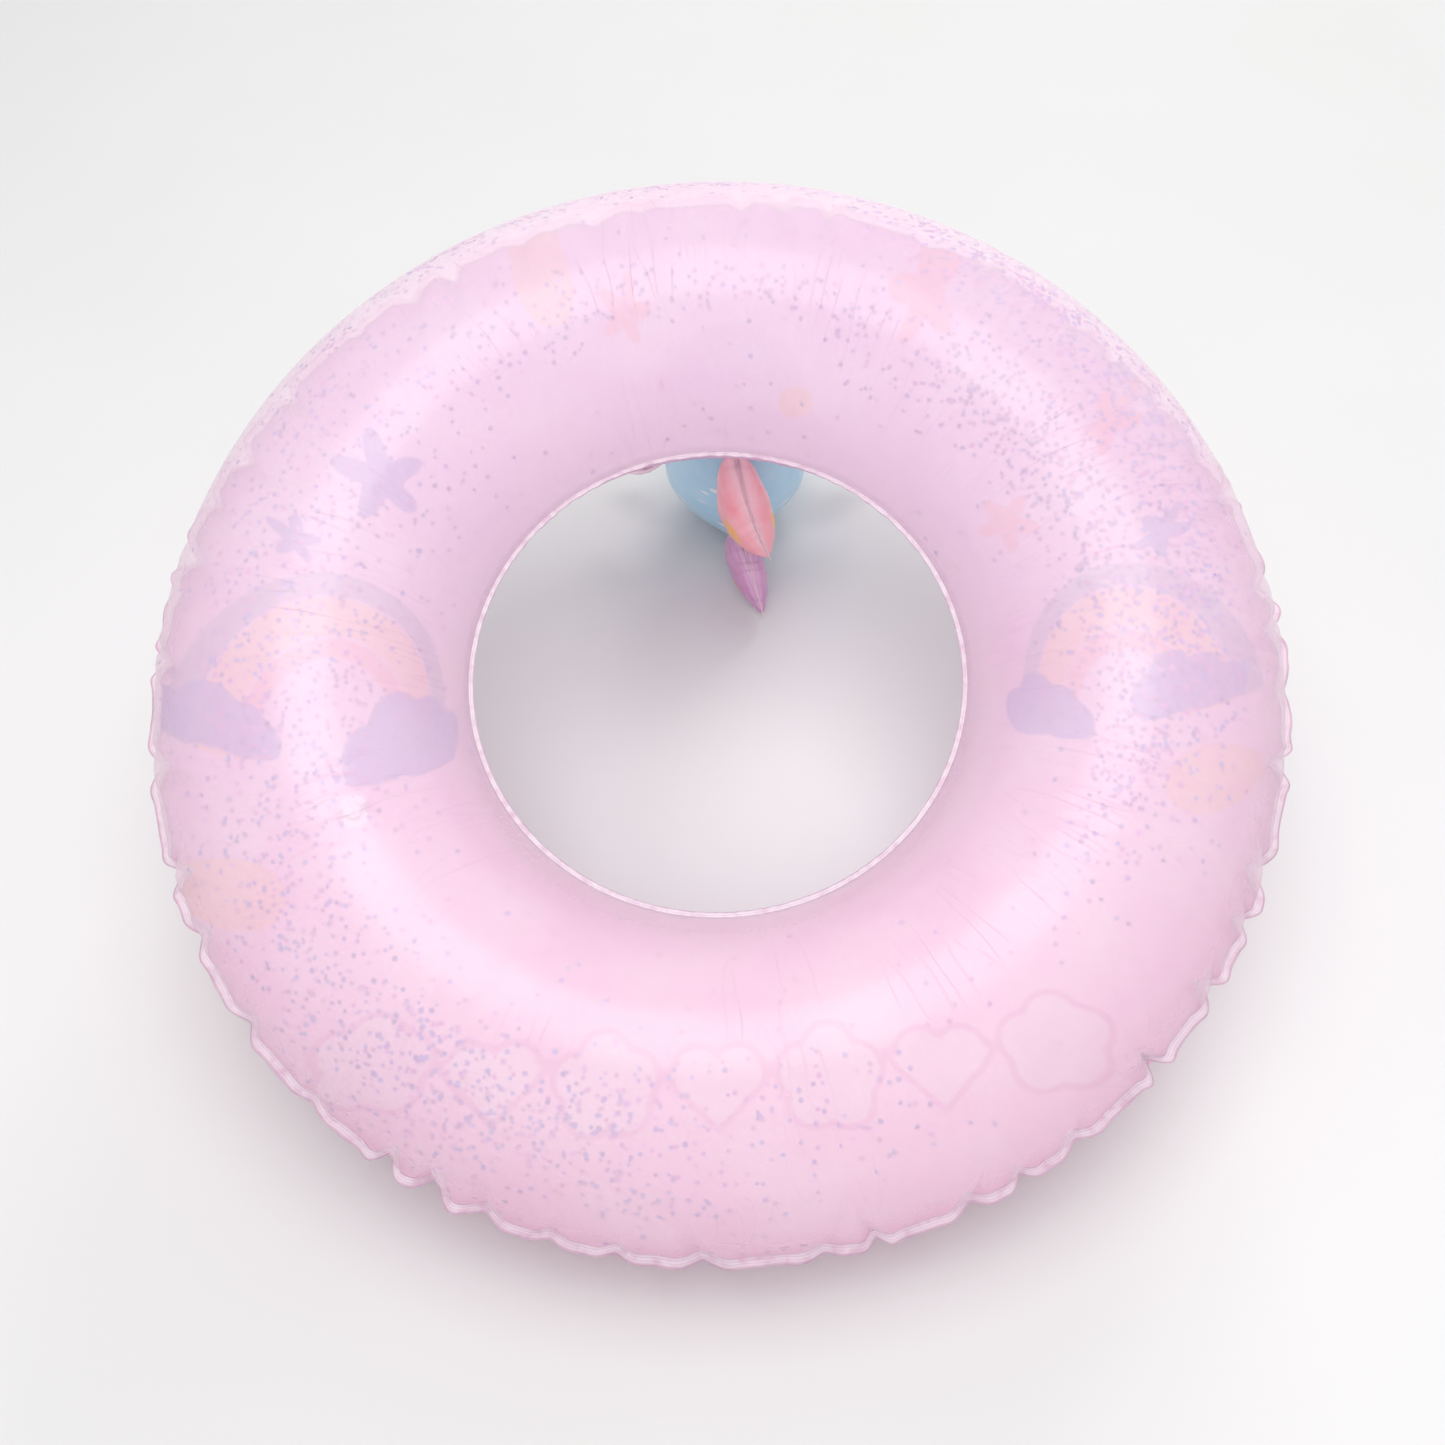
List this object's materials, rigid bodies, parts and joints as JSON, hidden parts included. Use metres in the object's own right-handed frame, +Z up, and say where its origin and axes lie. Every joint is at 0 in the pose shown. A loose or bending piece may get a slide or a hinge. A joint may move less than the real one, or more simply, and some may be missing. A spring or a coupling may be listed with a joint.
{
  "type": "inflatable swim ring",
  "caption": "Inflatable swim ring of translucent vinyl with an attached inflated pony head, mane lobes, ears and push-in air valves, resting upside down on rim and crown.",
  "frame": {"origin": "on the floor under the middle of the whole object's footprint, as it rests upside down on the near rim and the crown of the head", "axes": "+Z up from the floor, +Y from the ring towards the side with the head, +X across the ring"},
  "size_m": [0.762, 0.8348, 0.3957],
  "materials": {
    "back_film": "satin",
    "front_film": "satin",
    "clear_weld": "gloss",
    "blue_print": "satin",
    "coral_print": "satin",
    "purple_print": "satin",
    "pink_print": "satin",
    "valve_vinyl": "satin",
    "confetti_foil": "gloss"
  },
  "bodies": {
    "float": {"ring_back_sheet": "back_film", "ring_front_sheet": "front_film", "ring_rim_weld": "clear_weld", "ring_hole_weld": "clear_weld", "head_left_sheet": "blue_print", "head_right_sheet": "blue_print", "head_back_weld": "clear_weld", "head_front_weld": "clear_weld", "neck_weld_collar": "clear_weld", "mane_coral_left_sheet": "coral_print", "mane_coral_right_sheet": "coral_print", "mane_coral_weld": "clear_weld", "mane_purple_left_sheet": "purple_print", "mane_purple_right_sheet": "purple_print", "mane_purple_weld": "clear_weld", "ear_left_left_sheet": "pink_print", "ear_left_right_sheet": "pink_print", "ear_left_weld": "clear_weld", "ear_right_left_sheet": "pink_print", "ear_right_right_sheet": "pink_print", "ear_right_weld": "clear_weld", "ring_valve_disc": "valve_vinyl", "head_valve_disc": "valve_vinyl", "confetti_flake_01": "confetti_foil", "confetti_flake_02": "confetti_foil", "confetti_flake_03": "confetti_foil", "confetti_flake_04": "confetti_foil", "confetti_flake_05": "confetti_foil", "confetti_flake_06": "confetti_foil", "confetti_flake_07": "confetti_foil", "confetti_flake_08": "confetti_foil", "confetti_flake_09": "confetti_foil", "confetti_flake_10": "confetti_foil", "confetti_flake_11": "confetti_foil", "confetti_flake_12": "confetti_foil"},
    "ring_stem": {"ring_valve_stem": "valve_vinyl", "ring_valve_tether": "valve_vinyl"},
    "ring_plug": {"ring_valve_plug": "valve_vinyl"},
    "ring_flap": {"ring_valve_flap": "valve_vinyl"},
    "head_stem": {"head_valve_stem": "valve_vinyl", "head_valve_tether": "valve_vinyl"},
    "head_plug": {"head_valve_plug": "valve_vinyl"},
    "head_flap": {"head_valve_flap": "valve_vinyl"}
  },
  "joints": [
    {"name": "ring_valve_press", "type": "slide", "parent": "float", "child": "ring_stem", "axis": [0, -0.3747, 0.9271], "range_m": [0, 0.01]},
    {"name": "ring_plug_pull", "type": "slide", "parent": "ring_stem", "child": "ring_plug", "axis": [0, 0.3747, -0.9271], "range_m": [0, 0.012]},
    {"name": "ring_flap_swing", "type": "hinge", "parent": "ring_stem", "child": "ring_flap", "pos_m": [-0.26048, -0.08044, 0.09036], "axis": [-0.2079, 0.9069, 0.3665], "range_deg": [0, 55], "stiffness_Nm_per_rad": 0.0005},
    {"name": "head_valve_press", "type": "slide", "parent": "float", "child": "head_stem", "axis": [-0.9969, 0.0727, 0.0294], "range_m": [0, 0.01]},
    {"name": "head_plug_pull", "type": "slide", "parent": "head_stem", "child": "head_plug", "axis": [0.9969, -0.0727, -0.0294], "range_m": [0, 0.012]},
    {"name": "head_flap_swing", "type": "hinge", "parent": "head_stem", "child": "head_flap", "pos_m": [0.06427, 0.23583, 0.16889], "axis": [0.0785, 0.9243, 0.3736], "range_deg": [0, 55], "stiffness_Nm_per_rad": 0.0005}
  ]
}
